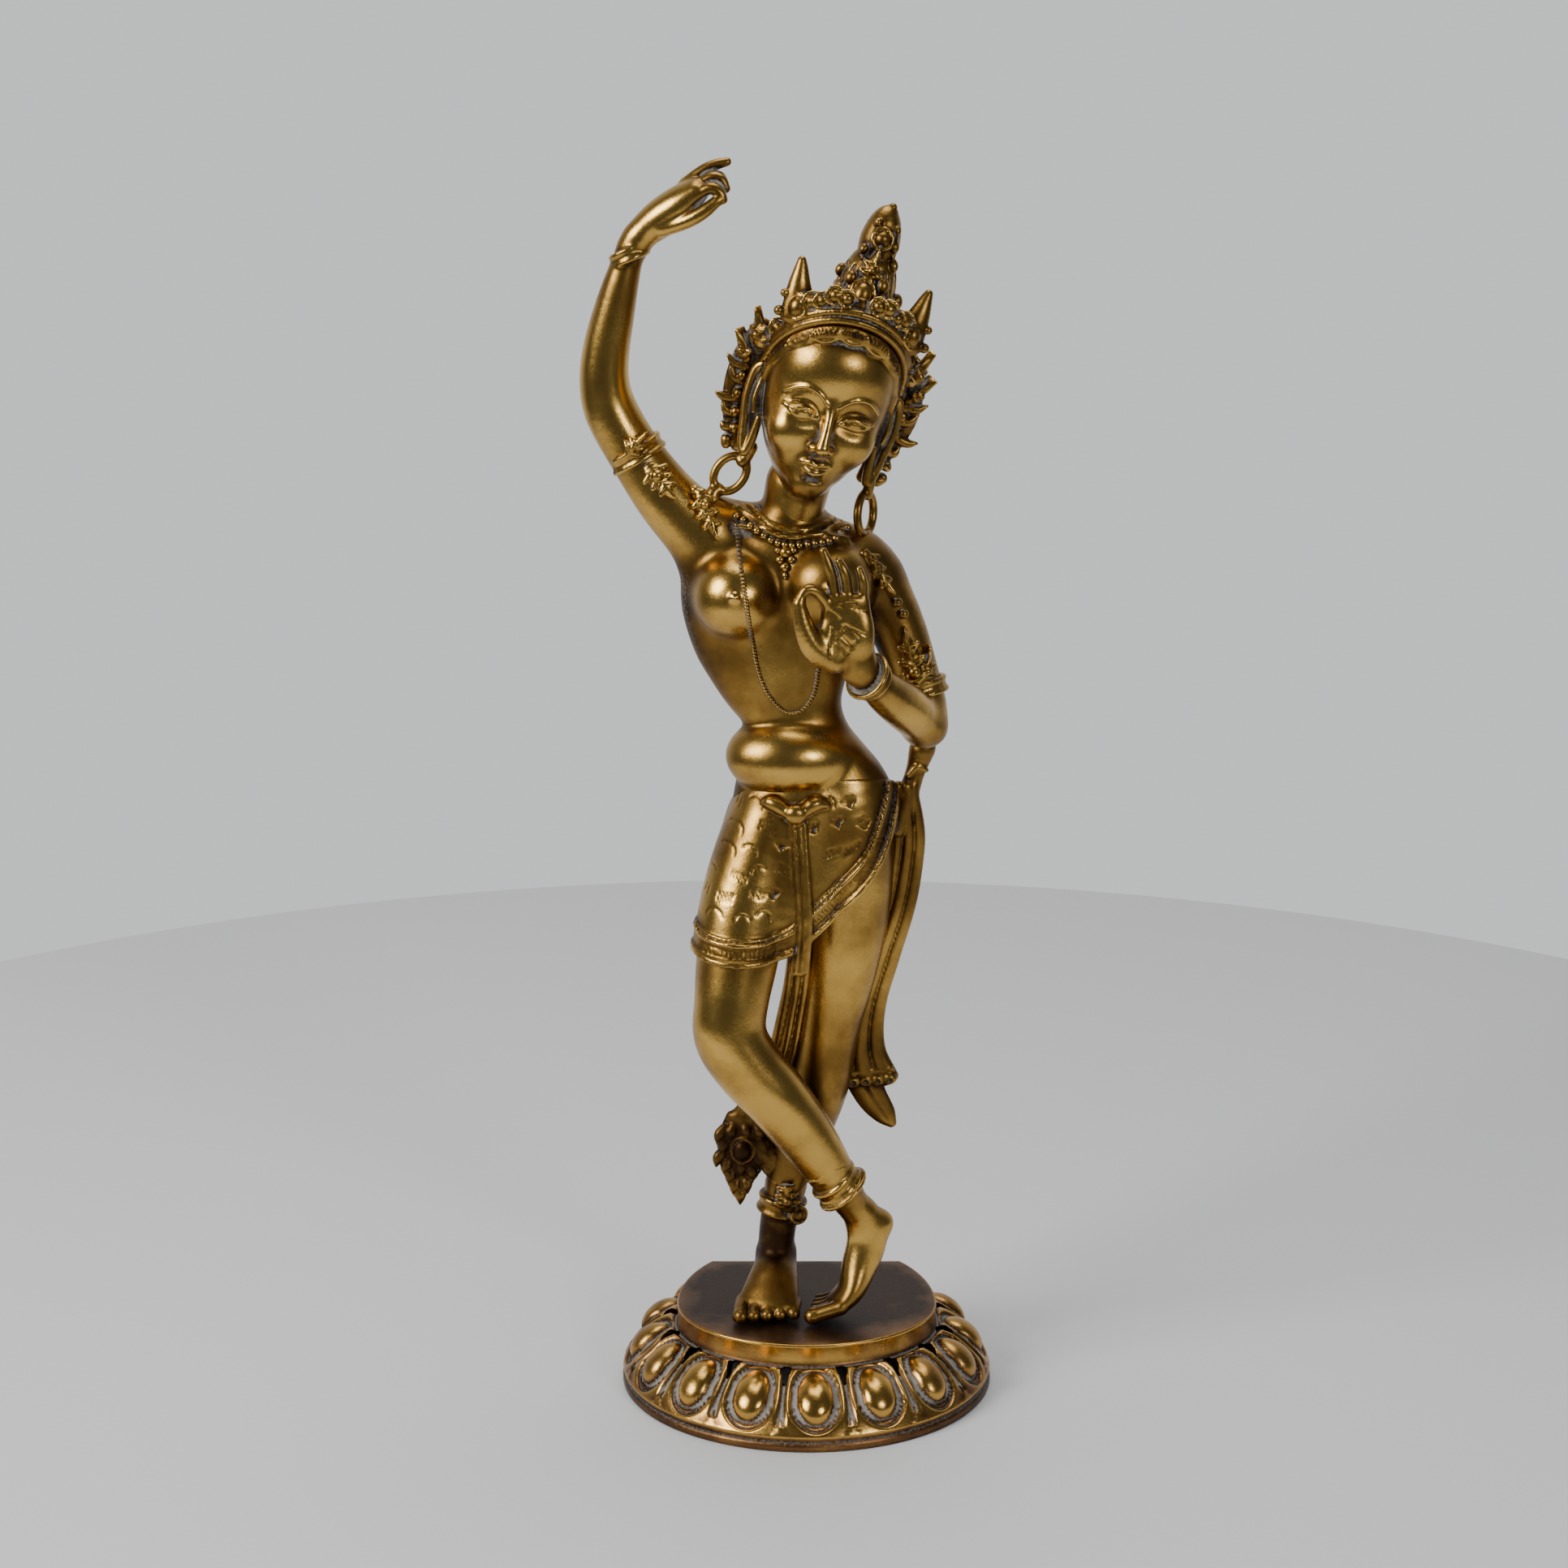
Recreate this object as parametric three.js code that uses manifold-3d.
import * as THREE from 'three';
import { mergeVertices } from 'three/addons/utils/BufferGeometryUtils.js';
import Module from 'manifold-3d';

// A cast brass dancer on a lotus base, in millimetres with +Z up.
// The dancer faces -Y, and +X is a viewer's right. Positions below are measured from the
// centre of the lotus ring on the ground, and the whole is centred on its own box at the end.
// Left and right are the dancer's own: the raised right arm is at -X.

const wasm = await Module();
wasm.setup();

const LOTUS = { halfWidth: 85, halfDepth: 80, petals: 16, turn: THREE.MathUtils.degToRad(2.7), rimHeight: 4.5 };
const PLATFORM = { top: 37, bandBottom: 26.4, halfWidth: 60, frontDepth: 49, backDepth: 70, backCut: 46.5 };
const SHELL_WALL = 3;
const CASTING_GAP = 0.3;
const SOLE = PLATFORM.top + CASTING_GAP;

const HEAD = { centre: [6.4, -5, 453.5], tilt: 15.5, turn: 7, nod: 5 };
const CLOTH = 1.8;
const FACET_TOLERANCE = 0.3;
const BRASS = { color: 0xb08d3f, roughness: 0.32, metalness: 1 };
const BROWN_BRASS = { color: 0x8d6b3d, roughness: 0.45, metalness: 1 };

const UP = new THREE.Vector3(0, 0, 1);
const BACK = new THREE.Vector3(0, 1, 0);
const vec = (x, y, z) => new THREE.Vector3(x, y, z);
const radians = THREE.MathUtils.degToRad;

// Each station is [x, y, z, half width, half depth]; half depth defaults to half width.
const LIMBS = {
  raisedArm: [
    [-24, 3, 377, 17, 16], [-40.5, 2, 390, 16.6, 15], [-52, 1, 402, 15, 13], [-62, 1, 413, 13.6, 11.8],
    [-74, 2, 430, 12, 10.8], [-84.6, 2.5, 449, 11.6], [-87.3, 1, 463, 10.7], [-86, 0, 477, 10], [-82.6, -2, 492, 8.9],
    [-79.2, -4, 505, 7.5], [-75.8, -5, 516, 6.2], [-72.6, -6, 523, 5.6],
  ],
  foldedUpperArm: [
    [14, 2, 384, 14], [26.5, 3, 378.5, 14], [34, 4, 366, 12.6], [40.5, 4, 351, 12], [46, 3, 334, 11.4],
    [50.4, 0, 320, 10.6], [51, -3, 312, 9.6],
  ],
  foldedForearm: [
    [51, -3, 312, 9.4], [43, -15, 322, 10.4], [34.6, -27, 331, 9.4], [27, -36.5, 339.5, 7.4], [21.5, -41, 346, 7.2, 5.4],
  ],
  crossingLeg: [
    [-16, -1, 268, 18, 22], [-23, -7, 248, 18.6, 20], [-28, -13, 228, 19], [-31.2, -18, 208, 18.2],
    [-33.6, -23, 191, 16.6], [-34.4, -25.5, 176, 16.2], [-27.2, -26, 162.5, 15.6], [-14.8, -25, 147, 14.8],
    [-3.6, -22, 131, 13.6], [5.8, -19.5, 116, 11.9], [13.8, -17, 102, 9.8], [20.3, -14, 91, 7.8],
  ],
  standingLeg: [
    [17, 4, 268, 21, 24], [18.6, 3, 244, 20, 20], [17.4, 3, 220, 18.8], [14.4, 4, 196, 16.8], [10, 5, 169, 14],
    [5.4, 7.5, 141, 14, 14.4], [-3, 8.5, 112, 11.8, 12], [-9.4, 8, 90, 9.8], [-13.4, 7, 70, 8.4], [-14, 8, 56, 8.4, 10],
  ],
};

// Torso slices: [height, centre x, half width, front depth, back depth].
const TORSO = [
  [404, -8.4, 13, 12, 14], [396, -8.6, 24, 13, 16], [389, -9, 36, 16, 19], [380, -11, 43, 18, 20],
  [364, -14, 41, 19, 20], [345, -14.4, 35.4, 18, 18], [332, -13, 29.8, 17, 17], [321, -10.4, 25.2, 16, 15.5],
  [311, -5, 22.8, 16, 15], [302, -1.4, 26.2, 17, 17], [291, 1.4, 32, 18, 21], [278, 3, 36, 19, 26],
  [262, 2.4, 38, 18, 28], [246, 1, 34, 12, 22],
];
const BREASTS = [
  { centre: [-31, -14, 369], radii: [16.5, 17, 16.5] },
  { centre: [8.5, -14, 374], radii: [17, 17.5, 17] },
];
const BELLY = { centre: [-2.6, -5, 297.5], radii: [30.5, 18.5, 18.5] };

// Closed skin over a row of rings, each ring with the same number of points.
function skin(rings) {
  const sides = rings[0].length;
  const centres = [rings[0], rings.at(-1)].map((ring) => {
    const sum = ring.reduce((total, point) => total.add(point), vec(0, 0, 0));
    return sum.divideScalar(sides);
  });
  const positions = [...rings.flat(), ...centres].flatMap((point) => point.toArray());
  const foot = rings.length * sides;
  const lastRing = foot - sides;
  const index = [];
  for (let side = 0; side < sides; side += 1) {
    const next = (side + 1) % sides;
    for (let ring = 0; ring < lastRing; ring += sides) {
      index.push(ring + side, ring + next, ring + sides + next);
      index.push(ring + side, ring + sides + next, ring + sides + side);
    }
    index.push(foot, next, side);
    index.push(foot + 1, lastRing + side, lastRing + next);
  }
  const geometry = new THREE.BufferGeometry();
  geometry.setAttribute('position', new THREE.Float32BufferAttribute(positions, 3));
  geometry.setIndex(enclosedVolume(positions, index) < 0 ? index.reverse() : index);
  return geometry;
}

function enclosedVolume(positions, index) {
  const corner = (i) => vec(positions[3 * i], positions[3 * i + 1], positions[3 * i + 2]);
  let volume = 0;
  for (let i = 0; i < index.length; i += 3) {
    volume += corner(index[i]).dot(corner(index[i + 1]).cross(corner(index[i + 2])));
  }
  return volume / 6;
}

// A ring of points round a centre, across and through being its two half axes as vectors.
function ringAt(centre, across, through, sides) {
  return Array.from({ length: sides }, (_, side) => {
    const angle = (side / sides) * 2 * Math.PI;
    return centre.clone().addScaledVector(across, Math.cos(angle)).addScaledVector(through, Math.sin(angle));
  });
}

// A limb, finger or fold: oval rings along a smooth path through its stations. Its end is rounded off
// with domes rings, and so is its start where roundStart is set.
function limb(stations, { sides = 10, steps = 1, domes = 1, roundStart = false, depthAxis = BACK } = {}) {
  const path = new THREE.CatmullRomCurve3(stations.map(([x, y, z]) => vec(x, y, z)));
  const sizes = new THREE.CatmullRomCurve3(stations.map(([, , , wide, deep = wide]) => vec(wide, deep, 0)));
  const count = (stations.length - 1) * steps;
  const rings = [];
  const addRing = (t, lift, shrink) => {
    const tangent = path.getTangent(t);
    const across = new THREE.Vector3().crossVectors(tangent, depthAxis).normalize();
    const through = new THREE.Vector3().crossVectors(across, tangent);
    const size = sizes.getPoint(t);
    const centre = path.getPoint(t).addScaledVector(tangent, lift * Math.min(size.x, size.y));
    rings.push(ringAt(centre, across.multiplyScalar(size.x * shrink), through.multiplyScalar(size.y * shrink), sides));
  };
  const domeAngles = Array.from({ length: domes }, (_, i) => radians((i + 1) * (62 / domes)));
  if (roundStart) domeAngles.toReversed().forEach((angle) => addRing(0, -Math.sin(angle), Math.cos(angle)));
  for (let i = 0; i <= count; i += 1) addRing(i / count, 0, 1);
  domeAngles.forEach((angle) => addRing(1, Math.sin(angle), Math.cos(angle)));
  return skin(rings);
}

function ball([x, y, z], [rx, ry, rz], sides = 10) {
  const rows = Math.max(4, Math.round(sides * 0.6));
  return new THREE.SphereGeometry(1, sides, rows).scale(rx, ry, rz).translate(x, y, z);
}

// A small raised bead or knob, as a twenty-faced ball.
function bead([x, y, z], radius, [rx, ry, rz] = [1, 1, 1]) {
  return new THREE.IcosahedronGeometry(radius, 0).scale(rx, ry, rz).translate(x, y, z);
}

// A plate of the given outline, thick along its own Z, with softened edges.
function plate(points, thickness, soften = 1) {
  const outline = new THREE.Shape(points.map(([x, y]) => new THREE.Vector2(x, y)));
  const settings = { depth: thickness - 2 * soften, bevelThickness: soften, bevelSize: soften, bevelSegments: 1 };
  return new THREE.ExtrudeGeometry(outline, settings).translate(0, 0, soften - thickness / 2);
}

function toSolid(geometry) {
  const bare = geometry.clone();
  bare.deleteAttribute('normal');
  bare.deleteAttribute('uv');
  const merged = mergeVertices(bare, 1e-4);
  return new wasm.Manifold(new wasm.Mesh({
    numProp: 3,
    vertProperties: new Float32Array(merged.attributes.position.array),
    triVerts: new Uint32Array(merged.index.array),
  }));
}

const join = (geometries) => geometries.map(toSolid).reduce((whole, piece) => whole.add(piece));

// Fills the small pockets that joined forms close off between them.
const withoutPockets = (solid) => wasm.Manifold.compose(solid.decompose().filter((part) => part.volume() > 0));

// Draws a corner into a neighbouring one wherever that keeps the skin closed, turns no facet over and
// moves the surface by less than FACET_TOLERANCE, so that the joints between forms leave no slivers.
function mergeFlatCorners(points, facets) {
  const around = points.map(() => new Set());
  facets.forEach((facet, i) => facet.forEach((corner) => around[corner].add(i)));
  const neighbours = (corner) => new Set([...around[corner]].flatMap((i) => facets[i]).filter((c) => c !== corner));
  const planeOf = ([a, b, c]) => new THREE.Plane().setFromCoplanarPoints(points[a], points[b], points[c]);
  const canMerge = (drop, keep) => {
    const others = neighbours(keep);
    if ([...neighbours(drop)].filter((corner) => others.has(corner)).length !== 2) return false;
    return [...around[drop]].every((i) => {
      const before = planeOf(facets[i]);
      if (Math.abs(before.distanceToPoint(points[keep])) > FACET_TOLERANCE) return false;
      if (facets[i].includes(keep)) return true;
      return planeOf(facets[i].map((corner) => (corner === drop ? keep : corner))).normal.dot(before.normal) > 0.3;
    });
  };
  for (let pass = 0; pass < 3; pass += 1) {
    for (let drop = 0; drop < points.length; drop += 1) {
      const byDistance = [...neighbours(drop)].sort((a, b) => (
        points[a].distanceToSquared(points[drop]) - points[b].distanceToSquared(points[drop])));
      const keep = byDistance.find((corner) => canMerge(drop, corner));
      for (const i of keep === undefined ? [] : [...around[drop]]) {
        if (facets[i].includes(keep)) {
          facets[i].forEach((corner) => around[corner].delete(i));
          facets[i] = [];
        } else {
          facets[i] = facets[i].map((corner) => (corner === drop ? keep : corner));
          around[drop].delete(i);
          around[keep].add(i);
        }
      }
    }
  }
  return facets.flat();
}

function toMesh(solid, name, finish) {
  const { numProp, vertProperties, triVerts } = solid.getMesh();
  const points = Array.from({ length: vertProperties.length / numProp }, (_, i) => (
    new THREE.Vector3().fromArray(vertProperties, i * numProp)));
  const facets = Array.from({ length: triVerts.length / 3 }, (_, i) => [...triVerts.slice(3 * i, 3 * i + 3)]);
  const geometry = new THREE.BufferGeometry().setFromPoints(points);
  geometry.setIndex(mergeFlatCorners(points, facets));
  geometry.computeVertexNormals();
  const mesh = new THREE.Mesh(geometry, new THREE.MeshStandardMaterial(finish));
  mesh.name = name;
  return mesh;
}

// A big block whose top face lies in the plane through a point, square to a direction.
function halfSpace(point, direction) {
  const size = 400;
  const block = new THREE.BoxGeometry(size, size, size).translate(0, 0, -size / 2);
  const turn = new THREE.Quaternion().setFromUnitVectors(UP, direction.clone().normalize());
  return toSolid(block.applyQuaternion(turn).translate(...point));
}

// The torso's outline at a height, blended between its slices.
function torsoSlice(z) {
  const upper = TORSO.findLastIndex(([height]) => height >= z);
  const a = TORSO[Math.max(0, upper)];
  const b = TORSO[Math.min(TORSO.length - 1, upper + 1)];
  const share = a === b ? 0 : (a[0] - z) / (a[0] - b[0]);
  return a.map((value, i) => THREE.MathUtils.lerp(value, b[i], share));
}

// How far forward the trunk's front reaches at a place: the smallest y of torso, breasts and belly.
function trunkFront(x, z) {
  const [, middle, halfWidth, front] = torsoSlice(z);
  const across = Math.min(1, Math.abs(x - middle) / halfWidth);
  const forms = [-front * Math.sqrt(1 - across * across)];
  for (const { centre, radii } of [...BREASTS, BELLY]) {
    const left = 1 - ((x - centre[0]) / radii[0]) ** 2 - ((z - centre[2]) / radii[2]) ** 2;
    if (left > 0) forms.push(centre[1] - radii[1] * Math.sqrt(left));
  }
  return Math.min(...forms);
}

function trunk() {
  const sides = 14;
  const rings = TORSO.map(([z, middle, halfWidth, front, back]) => Array.from({ length: sides }, (_, side) => {
    const angle = (side / sides) * 2 * Math.PI;
    const depth = Math.sin(angle) < 0 ? front : back;
    return vec(middle + halfWidth * Math.cos(angle), depth * Math.sin(angle), z);
  }));
  const forms = [skin(rings), ball(BELLY.centre, BELLY.radii, 10)];
  for (const { centre, radii } of BREASTS) {
    const tip = [centre[0], centre[1] - radii[1], centre[2]];
    forms.push(ball(centre, radii, 9), bead(tip, 2));
  }
  for (const [x, z] of [[-16, 258], [20, 256]]) forms.push(ball([x, 13, z], [19, 18, 21], 8));
  forms.push(limb([[-9, 1, 391, 21, 15], [-8.4, -1, 400, 14.6, 13], [-7.4, -2, 408, 12.8, 12.6], [-5.5, -3, 419, 12.8, 13]]));
  return forms;
}

// A finger or toe, thinner towards its tip.
function digit(points, thickness) {
  const stations = points.map((point, i) => [...point, thickness * (1 - 0.36 * (i / (points.length - 1)) ** 2)]);
  return limb(stations, { sides: 5 });
}

function raisedHand() {
  const palm = limb([
    [-74, -5.5, 520, 5.4, 5.2], [-69.5, -6.5, 527, 5.6, 6], [-62.3, -8, 534.6, 5.8, 8], [-54, -9.5, 541.5, 5.4, 9],
    [-46.5, -10, 546.5, 4, 8.6],
  ], { sides: 8 });
  const fingers = [
    digit([[-49, -7, 548], [-43.5, -7, 552.3], [-39, -7, 554.6], [-34.5, -7, 555.6]], 2.5),
    digit([[-48, -3.5, 547], [-42, -2.5, 549.5], [-37.5, -2, 549], [-35.5, -2, 546]], 2.6),
    digit([[-48, -11, 546], [-41.5, -12, 549.5], [-36.5, -12.5, 549.8], [-34.6, -13, 547]], 2.5),
    digit([[-48, -15, 543.5], [-41.5, -16.5, 546], [-37.3, -17, 544.5], [-35.6, -17, 541]], 2.4),
    digit([[-58, -14, 532], [-50.5, -17, 533.6], [-44, -18, 536.4], [-38.4, -17.5, 540.6]], 2.8),
  ];
  return [palm, ...fingers];
}

function foldedHand() {
  const palm = limb([
    [22, -41, 345, 7.4, 5.6], [18.5, -43.5, 354, 10.4, 5.4], [16, -45, 365, 11.6, 4.6], [15.6, -45.5, 377, 10.8, 4],
  ]);
  const fingers = [
    digit([[8, -46, 374], [3.5, -48.5, 380.5], [-1, -50, 381.8], [-4, -50.5, 377]], 2.9),
    digit([[11, -45.5, 378], [9.8, -46, 386], [8, -46.5, 392], [6, -46, 397.4]], 3),
    digit([[16.6, -45.5, 379], [15.8, -46, 385], [14.4, -46.5, 389.5], [12.6, -46, 393]], 2.9),
    digit([[22.6, -45, 376], [23, -45.5, 381.5], [22.4, -46, 385.5], [21.2, -45.5, 389.5]], 2.7),
    digit([[10.5, -45, 352], [0.6, -48.5, 357], [-3.4, -50, 365.5], [-4, -50.5, 376]], 4.4),
  ];
  return [palm, ...fingers];
}

function standingFoot() {
  const foot = limb([
    [-13.6, 22, 44, 8.6, 8], [-13.9, 12, 48, 9.6, 12], [-14.8, 1, 49.5, 10.6, 13], [-16.4, -9, 45.5, 13, 10],
    [-18, -18, 42, 15, 6.4],
  ], { depthAxis: UP, roundStart: true });
  const toes = Array.from({ length: 5 }, (_, toe) => {
    const x = -30 + toe * 6;
    const tip = -24.4 + 0.7 * toe;
    return digit([[x + 1, -13, 42.6], [x + 0.2, -20, 41.6], [x, tip, 40.4]], toe === 0 ? 4.2 : 3.5);
  });
  return [foot, ...toes];
}

// The crossing foot hangs from the ankle and rests on the ball and the toes.
function crossingFoot() {
  const foot = limb([
    [19.6, -14, 93, 7.2, 7.6], [25, -12, 84, 9.4, 8], [27.4, -12, 73, 9.6, 8.2], [24, -14, 61, 8.6, 9],
    [20.4, -17, 51, 6.6, 10.5], [14, -19, 44.4, 4.8, 11.5],
  ]);
  const heel = ball([33.4, -9, 79.5], [6.8, 6.4, 6.8], 8);
  const toes = Array.from({ length: 5 }, (_, toe) => {
    const y = -26.4 + toe * 4.7;
    const reach = toe === 0 ? 0 : toe;
    return digit([[15, y, 45.6], [7.4 + reach, y, 42.8], [2.4 + reach, y, 41.2]], toe === 0 ? 4 : 2.9);
  });
  return [foot, heel, ...toes];
}

// Everything on the head is made upright about the head's centre, then tilted with it.
const headPose = new THREE.Matrix4().makeTranslation(...HEAD.centre)
  .multiply(new THREE.Matrix4().makeRotationY(radians(HEAD.tilt)))
  .multiply(new THREE.Matrix4().makeRotationZ(radians(HEAD.turn)))
  .multiply(new THREE.Matrix4().makeRotationX(radians(HEAD.nod)));
const onHead = (geometries) => geometries.map((geometry) => geometry.applyMatrix4(headPose));

// Head slices: [height, half width, front, back], all from the head's centre.
const SKULL = [
  [-37, 5, -21.5, -12], [-33.5, 10.5, -24.5, -5], [-27, 16.5, -26, 3], [-17, 22.4, -26.8, 12],
  [-5, 26.2, -27, 20], [7, 27.6, -27, 25], [19, 27.6, -25.8, 27], [30, 24.8, -22, 26], [38, 18.5, -15, 22],
  [43, 9.5, -7, 14],
];

function head() {
  const skull = skin(SKULL.map(([z, halfWidth, front, back]) => ringAt(
    vec(0, (front + back) / 2, z), vec(halfWidth, 0, 0), vec(0, (back - front) / 2, 0), 12,
  )));
  const nose = limb([[0, -25, 3, 2, 2], [0, -27.5, -6, 2.4, 2.6], [0, -28.6, -13, 3.4, 3], [0, -27.4, -15.6, 3.2, 2]],
    { sides: 5, domes: 0 });
  const lips = [bead([0, -26.2, -20.4], 1, [6, 1.8, 1.7]), bead([0, -25.8, -23.6], 1, [5, 1.8, 1.7])];
  const pieces = [skull, nose, ...lips];
  for (const side of [-1, 1]) {
    const brow = [[side * 3, -26.2, 5], [side * 9, -26.6, 9], [side * 15.6, -24, 8.6], [side * 20.6, -19.6, 5]];
    const lobe = [[27.4, 0, 3, 3, 6], [30.6, 1, -7, 2.8, 6.6], [30, 0, -18, 2.6, 5], [26.6, -1, -29, 2.8, 3.4]];
    const lid = bead([0, 0, 0], 1, [7, 2, 2.6]).rotateZ(side * 0.4).translate(side * 11.6, -24.6, 0.4);
    pieces.push(limb(brow.map((p) => [...p, 1.3]), { sides: 4, domes: 0 }), lid);
    pieces.push(limb(lobe.map(([x, ...rest]) => [side * x, ...rest]), { sides: 5, domes: 0 }));
  }
  return onHead([...pieces, ...hair(), ...crown()]);
}

// The crown's lower edge round the head: an arch high over the brow and low behind the ears.
const crownHeight = (angle) => 8 + 35 * Math.max(0, Math.cos(angle)) ** 0.8 + 4 * Math.min(0, Math.cos(angle));
const crownPoint = (angle, spread = 0, lift = 0) => [
  (28 + spread) * Math.sin(angle), -(25 + spread) * Math.cos(angle) + 1, crownHeight(angle) + lift,
];

// How far the crown's top stands over its lower edge, in degrees from the front: leaves and valleys.
const CROWN_TOP = [
  [0, 26], [12, 15], [24, 12], [40, 13], [53, 20], [62, 33], [71, 15], [80, 18], [92, 8], [104, 12], [134, 8],
  [174, 8],
];

// The hair roll over the brow and the crown above it, as one strip bent round the head.
function crownStrip() {
  const right = CROWN_TOP.map(([degrees, height]) => [radians(degrees), height]);
  const left = right.slice(1).map(([angle, height]) => [-angle, height]).toReversed();
  return skin([...left, ...right].map(([angle, height]) => [
    [-9, -7], [-0.4, -9], [1.2, -4], [3.6, -1], [2.4, 5], [1 + height * 0.12, height], [-1.6 + height * 0.12, height],
    [-9, 2],
  ].map(([spread, lift]) => vec(...crownPoint(angle, spread, lift)))));
}

function hair() {
  const topknot = new THREE.LatheGeometry([
    [0, 30], [15.6, 32], [15.6, 42], [13.8, 53], [10.8, 62], [7.4, 67.5], [7.6, 74], [5.4, 81.6], [0, 86.4],
  ].map(([radius, height]) => new THREE.Vector2(radius, height)), 8);
  topknot.rotateX(Math.PI / 2).translate(5, 4, 0);
  const locks = [[4, 49, 14], [-40, 58, 10.4], [24, 61, 9.6], [0, 72, 6.4]].map(([degrees, height, radius]) => {
    const angle = radians(degrees);
    return bead([4.4 + radius * Math.sin(angle), 4 - radius * Math.cos(angle), height], 4, [1, 1, 1.3]);
  });
  return [topknot, ...locks, ball([0, 17, 14], [20, 17, 20], 7)];
}

function crown() {
  const bosses = [[0, 12, 4.4], [-58, 14, 4], [58, 14, 4.4], [-28, 6, 3.6], [28, 6, 3.6]]
    .map(([degrees, lift, radius]) => bead(crownPoint(radians(degrees), 2.4 + lift * 0.1, lift), radius, [1, 0.8, 1]));
  const ribbonOutline = [
    [26, 8], [36, 24], [42, 22], [38.6, 12], [44, 8], [40.6, -2], [45, -9], [38, -12], [39, -19], [33, -30], [26, -27],
  ];
  const ribbons = [-1, 1].map((side) => {
    const ribbon = plate(ribbonOutline, 6).rotateX(Math.PI / 2).translate(0, 7, 0);
    return side > 0 ? ribbon.rotateY(radians(5)) : ribbon.rotateZ(Math.PI).translate(0, 14, 0);
  });
  return [crownStrip(), ...bosses, ...ribbons];
}

// The left ring, as a viewer sees them, leans between the ear and the shoulder; the other hangs edge on.
function earrings() {
  const leaning = new THREE.TorusGeometry(7.3, 1.9, 5, 10).scale(0.84, 1.16, 1).rotateZ(radians(-38)).rotateX(Math.PI / 2);
  const upright = new THREE.TorusGeometry(8.2, 1.8, 5, 10).scale(1, 1.08, 1).rotateX(Math.PI / 2).rotateZ(radians(64));
  const links = [
    limb([[-24.4, -1, 433, 2.6], [-26.6, -0.6, 429.6, 2.4], [-28, 0, 427, 2]], { sides: 5, domes: 0 }),
    limb([[-42, -1, 405, 4], [-41.4, -0.5, 413, 3.6], [-38.6, 0, 416, 2.4]], { sides: 5 }),
    limb([[26.6, -1, 418, 2.6], [25.4, -0.5, 414, 2.2]], { sides: 5, domes: 0 }),
    limb([[24.4, 0, 396, 2.4], [24.4, 0, 388, 4]], { sides: 5, domes: 0 }),
  ];
  return [leaning.translate(-33.6, 0, 422.4), upright.translate(24.8, 0, 405), ...links];
}

// A bangle, armlet or anklet round a limb, square to the limb's direction.
function cuff([x, y, z], direction, radius, width, thickness = 1.6) {
  const axis = direction.clone().normalize();
  const across = new THREE.Vector3().crossVectors(axis, BACK).normalize();
  const through = new THREE.Vector3().crossVectors(across, axis);
  return skin([[-0.5, 1], [0, 1.35], [0.5, 1]].map(([along, proud]) => {
    const reach = radius + thickness * proud;
    const middle = vec(x, y, z).addScaledVector(axis, along * width);
    return ringAt(middle, across.clone().multiplyScalar(reach), through.clone().multiplyScalar(reach), 8);
  }));
}

// The outline of one leaf ornament, from its foot at the origin to a blunt point.
const leafOutline = (width, height) => [
  [-0.4, 0], [0.4, 0], [0.5, 0.3], [0.32, 0.7], [0.08, 1], [-0.08, 1], [-0.32, 0.7], [-0.5, 0.3],
].map(([x, y]) => [x * width, y * height]);

// A leaf-shaped ornament lying on a limb, its tip along one direction and its face along another.
function ornament(foot, tipDirection, faceDirection, width, height) {
  const tip = tipDirection.clone().normalize();
  const across = new THREE.Vector3().crossVectors(tip, faceDirection).normalize();
  const face = new THREE.Vector3().crossVectors(across, tip);
  const place = new THREE.Matrix4().makeBasis(across, tip, face).setPosition(...foot);
  const boss = bead([0, height * 0.34, 2.6], 1, [width * 0.26, width * 0.26, 2]);
  return [plate(leafOutline(width, height), 5), boss].map((geometry) => geometry.applyMatrix4(place));
}

function jewellery() {
  return [
    cuff([-75.6, -5, 516.4], vec(-0.42, 0.1, 0.9), 6.6, 5),
    cuff([26.4, -37, 340.4], vec(-0.62, -0.6, 0.58), 7.4, 5),
    cuff([-74.4, 2, 431], vec(-0.5, 0, 0.87), 11.8, 6),
    cuff([48.6, 2, 327], vec(0.25, -0.1, -0.96), 11, 6),
    cuff([14, -17, 101.6], vec(0.62, 0.15, -0.77), 9.9, 8),
    cuff([-11.4, 8, 82], vec(-0.2, 0, -0.98), 9.4, 7),
    ...ornament([-68, -8, 428], vec(0.56, 0.1, -0.6), vec(0.35, -1, 0.2), 11, 21),
    ...ornament([47.5, -8, 330], vec(-0.28, 0, 0.96), vec(0.2, -1, 0.1), 12, 25),
    ...ornament([-41, -8, 410], vec(0.25, -0.2, -0.8), vec(0.1, -1, 0.3), 9, 15),
    ...ornament([27, -8, 388], vec(0.6, 0.1, -0.78), vec(0.6, -0.8, 0.4), 8, 24),
    ...ornament([6, -27, 108], vec(-0.7, 0.2, 0.9), vec(-0.5, -1, 0), 10, 18),
  ];
}

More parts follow.
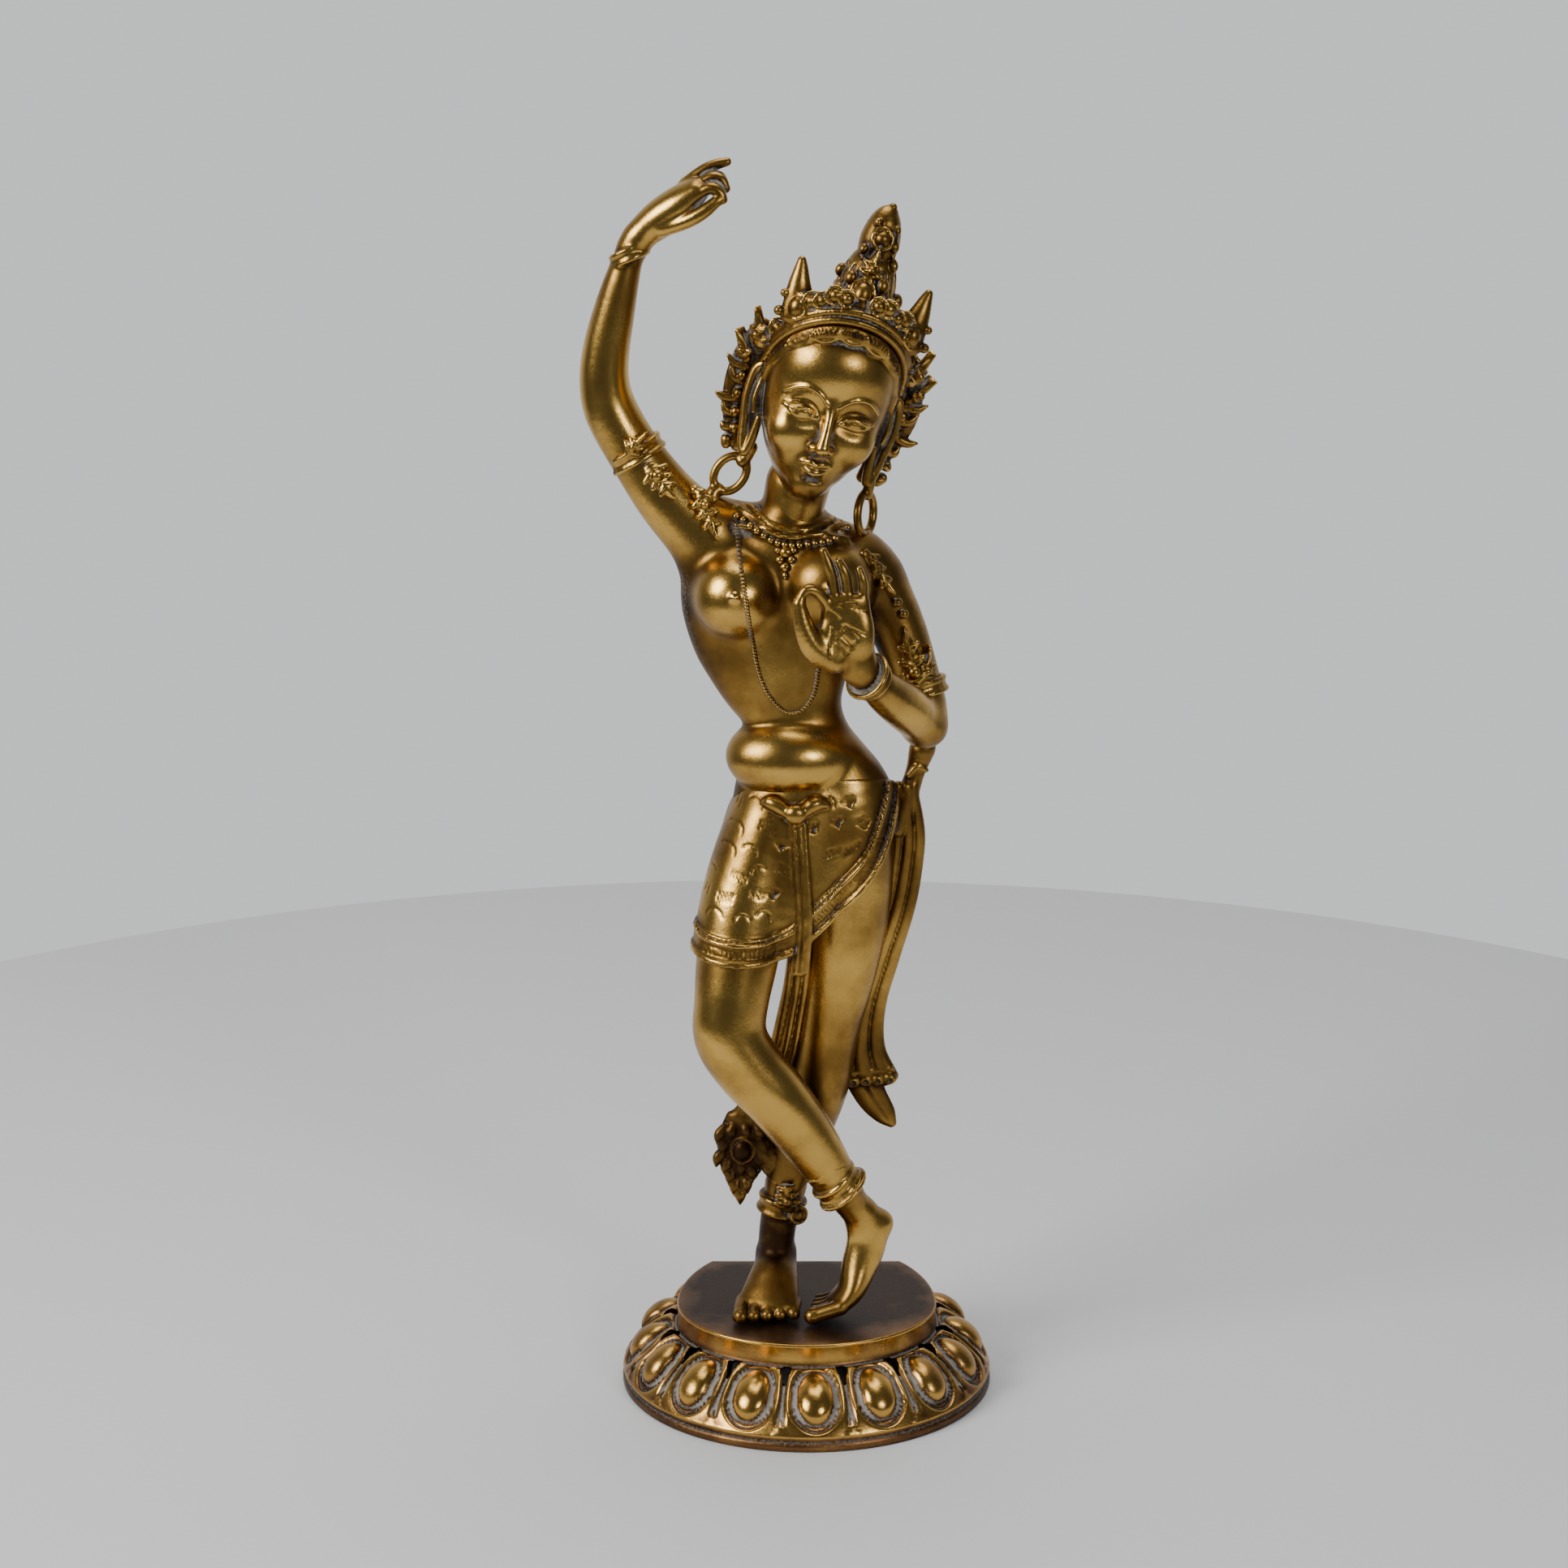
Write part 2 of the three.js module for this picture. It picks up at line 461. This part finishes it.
// Beads laid on the chest in an arc from shoulder to shoulder, with a pendant of larger ones.
function necklace() {
  const onChest = (x, z) => [x, trunkFront(x, z) - 0.2, z];
  const collar = Array.from({ length: 10 }, (_, i) => {
    const x = -30 + i * 5.2;
    const sag = ((x + 7) / 23) ** 2;
    return bead(onChest(x, 384 + 9 * sag), 2.3);
  });
  const pendant = [[-7, 379, 3], [-7, 372, 2.6]];
  const chainRoute = [[-29, 393], [-28, 383], [-26.5, 369], [-25, 352], [-22.6, 335], [-17, 322.5], [-7, 317], [1, 322],
    [4.6, 333], [5, 343]];
  const chain = chainRoute.map(([x, z]) => [...onChest(x, z), 1.6]);
  const beads = [...collar, ...pendant.map(([x, z, radius]) => bead(onChest(x, z), radius))];
  return [...beads, limb(chain, { sides: 4, domes: 0 })];
}

// Cloth wrapped over the hips: straight round the right thigh, slanting up over the left one.
function wrap() {
  const grown = (stations, extra) => stations.map(([x, y, z, wide, deep = wide]) => [x, y, z, wide + extra, deep + extra]);
  const between = (solid, place, direction, low, high) => solid
    .subtract(halfSpace(place.clone().addScaledVector(direction, low), direction))
    .subtract(halfSpace(place.clone().addScaledVector(direction, high), direction.clone().negate()));
  const lap = [[-3, -2, 276, 27, 19.6], [-5, -4, 256, 26, 20.6], [-8, -7, 234, 24, 20], [-9, -9, 214, 20, 18],
    [-9, -9, 202, 17, 15]];
  const leftHip = [[10, 3, 288, 25, 19], [15, 4, 270, 24, 22.6], [18.4, 3, 246, 20.6, 21], [17.6, 3, 220, 18.8, 19],
    [15, 4, 200, 17]];
  const hems = [
    { stations: LIMBS.crossingLeg.slice(0, 5), place: vec(-28, -18, 208), direction: vec(-0.04, 0.15, 1) },
    { stations: leftHip, place: vec(-3.6, 0, 213), direction: vec(-0.816, 0.153, 0.578) },
    { stations: lap, place: vec(-6, -14, 213), direction: vec(-0.5, 0.15, 0.85) },
  ];
  return hems.map(({ stations, place, direction }) => {
    const square = direction.clone().normalize();
    const layer = (proud, low, high) => between(toSolid(limb(grown(stations, proud))), place, square, low, high);
    return layer(CLOTH, 8, 120).add(layer(CLOTH + 1.2, 0, 12.6));
  }).reduce((whole, cloth) => whole.add(cloth));
}

// A hanging scarf: flat at the back and rounded in front into side by side folds.
function scarf(stations, folds) {
  const steps = Array.from({ length: 2 * folds + 1 }, (_, i) => i / folds - 1);
  return skin(stations.map(([x, y, z, spread]) => {
    const depth = 1.6 + spread * 0.16;
    const front = steps.map((share, i) => vec(x + share * spread, y - depth * (i % 2 ? 1.5 : 0.3), z));
    return [...front, vec(x + spread * 0.7, y + depth, z), vec(x - spread * 0.7, y + depth, z)];
  }));
}

function sashes() {
  const hip = scarf([[43.4, 5, 280, 5], [45, 6, 262, 7], [44.2, 7, 247, 7.6], [40.6, 7, 226, 8.4], [32.8, 8, 201, 9.4],
    [26.6, 9, 178, 10], [24.6, 9, 158, 12], [27.4, 9, 141, 15.4]], 3);
  const middle = scarf([[-3, -8, 226, 5], [-4, -6, 200, 5.8], [-7, -1, 178, 6.4], [-11.4, 2, 157, 7.4],
    [-21, 5, 136, 8.8], [-27, 7, 120, 11]], 2);
  const finial = limb([[41, 5, 268, 3.6], [46.4, 7, 284, 4.8], [50.6, 8, 297, 5.8]], { sides: 6 });
  const knot = [bead([-5.4, -24.5, 276.5], 5.2), bead([-12, -23, 279], 1, [5, 3.4, 3]), bead([3, -23, 280], 1, [5.6, 3.4, 3])];
  const pleat = limb([[-4.6, -22, 272, 3.6, 3], [-3, -24.5, 250, 4.4, 3.4], [-2, -26, 228, 5, 3.4],
    [-3.6, -26, 212, 4.6, 3]], { sides: 5, domes: 0 });
  const leafEnd = limb([[26, 9, 142, 7, 2.6], [31, 9.5, 131, 6.8, 2.6], [37, 10, 122, 4.8, 2.4]], { sides: 6 });
  const tassel = plate([
    [-12, 14], [-15.4, 8], [-12.6, 2], [-14.2, -3], [-10.8, -7], [-10, -13], [-6, -15], [-3.4, -23], [0, -22], [3.4, -13],
    [9, -8], [14, 8], [2, 20],
  ], 6).rotateX(Math.PI / 2).translate(-27, 7, 108);
  const tasselBosses = [[-29, 110, 4.2], [-33, 100, 3], [-25, 98, 3.4]]
    .map(([x, z, radius]) => bead([x, 3.6, z], radius, [1, 0.7, 1.2]));
  return [hip, middle, finial, ...knot, pleat, leafEnd, tassel, ...tasselBosses];
}

function dancer() {
  const limbs = Object.values(LIMBS).map((stations) => limb(stations, { roundStart: true }));
  const figure = join([
    ...trunk(), ...limbs, ...raisedHand(), ...foldedHand(), ...standingFoot(), ...crossingFoot(), ...head(),
    ...earrings(), ...jewellery(), ...necklace(), ...sashes(),
  ]);
  const sole = halfSpace(vec(0, 0, SOLE), UP);
  return toMesh(withoutPockets(figure.add(wrap()).subtract(sole)), 'dancer', BRASS);
}

// Round the lotus, a turn of 0 is the front and a quarter turn is +X. The outer rim is an oval; the
// platform's edge is a half oval in front and a longer one behind, cut off flat at its back.
const rimEdge = (turn, inset = 0) => vec((LOTUS.halfWidth - inset) * Math.sin(turn),
  -(LOTUS.halfDepth - inset) * Math.cos(turn), 0);
function platformEdge(turn, inset = 0) {
  const x = (PLATFORM.halfWidth - inset) * Math.sin(turn);
  if (Math.cos(turn) >= 0) return vec(x, -(PLATFORM.frontDepth - inset) * Math.cos(turn), 0);
  return vec(x, Math.min(-(PLATFORM.backDepth - inset) * Math.cos(turn), PLATFORM.backCut - inset), 0);
}
const level = (turns, edge, inset, height) => turns.map((turn) => edge(turn, inset).setZ(height));

// One petal: a polished egg in a groove, a raised lip round it and a valley to the next petal.
function petalRelief(across, down) {
  const side = Math.abs(across);
  const egg = Math.sin(Math.PI * THREE.MathUtils.clamp((down + 0.1) / 0.96, 0, 1)) ** 0.6;
  if (side < 0.1) return 4.4 * egg;
  if (side < 0.3) return 3 * egg;
  return side < 0.45 ? -1.6 * egg : 1;
}

// A point on the lotus between the platform's band (down = 0) and the rim (down = 1).
function lotusPoint(turn, down, relief) {
  const inner = platformEdge(turn, -1);
  const outer = rimEdge(turn, 1.2);
  const swell = down * Math.PI / 2;
  const run = (down + Math.sin(swell)) / 2;
  const fall = (down + 1 - Math.cos(swell)) / 2;
  const slope = Math.atan2(PLATFORM.bandBottom - LOTUS.rimHeight, inner.distanceTo(outer));
  const outwards = outer.clone().sub(inner).normalize();
  const height = THREE.MathUtils.lerp(PLATFORM.bandBottom, LOTUS.rimHeight, fall) + relief * Math.cos(slope);
  return inner.lerp(outer, run).addScaledVector(outwards, relief * Math.sin(slope)).setZ(height);
}

function lotusBase() {
  const petalTurn = (2 * Math.PI) / LOTUS.petals;
  const across = [-0.5, -0.4, -0.2, 0, 0.2, 0.4];
  const columns = Array.from({ length: LOTUS.petals }, (_, petal) => across.map((share) => (
    { turn: LOTUS.turn + (petal + share) * petalTurn, share }))).flat();
  const turns = columns.map(({ turn }) => turn);
  const outside = skin([
    level(turns, rimEdge, 0, 0),
    level(turns, rimEdge, 0, LOTUS.rimHeight - 0.8),
    ...[1, 0.82, 0.55, 0.2, 0].map((down) => columns.map(({ turn, share }) => (
      lotusPoint(turn, down, down === 0 ? 0 : petalRelief(share, down))))),
    level(turns, platformEdge, 0, PLATFORM.top),
  ]);
  const coarse = Array.from({ length: 24 }, (_, i) => (i / 24) * 2 * Math.PI);
  const hollow = skin([
    level(coarse, rimEdge, SHELL_WALL + 1, -1),
    ...[0.94, 0.5, 0.06].map((down) => coarse.map((turn) => lotusPoint(turn, down, -SHELL_WALL - 0.6))),
    level(coarse, platformEdge, SHELL_WALL, PLATFORM.top - SHELL_WALL),
  ]);
  let base = toSolid(outside).subtract(toSolid(hollow));
  for (let petal = 0; petal < LOTUS.petals; petal += 1) {
    const turn = LOTUS.turn + (petal + 0.5) * petalTurn;
    const drop = new THREE.Shape([[-2.6, 0], [2.6, 0], [0, -8.5]].map(([x, y]) => new THREE.Vector2(x, y)));
    const piercing = new THREE.ExtrudeGeometry(drop, { depth: 22, bevelEnabled: false }).translate(0, 0, -13);
    const outwards = rimEdge(turn).sub(platformEdge(turn));
    piercing.rotateX(Math.PI / 2 - 0.75).rotateZ(Math.atan2(outwards.y, outwards.x) + Math.PI / 2);
    base = base.subtract(toSolid(piercing.translate(...lotusPoint(turn, 0.04, 0).toArray())));
  }
  return toMesh(base, 'lotus_base', BROWN_BRASS);
}

const sculpture = new THREE.Group();
sculpture.add(dancer(), lotusBase());
const bounds = new THREE.Box3().setFromObject(sculpture);
const middle = bounds.getCenter(vec(0, 0, 0));
sculpture.position.set(-middle.x, -middle.y, -bounds.min.z);

export default sculpture;
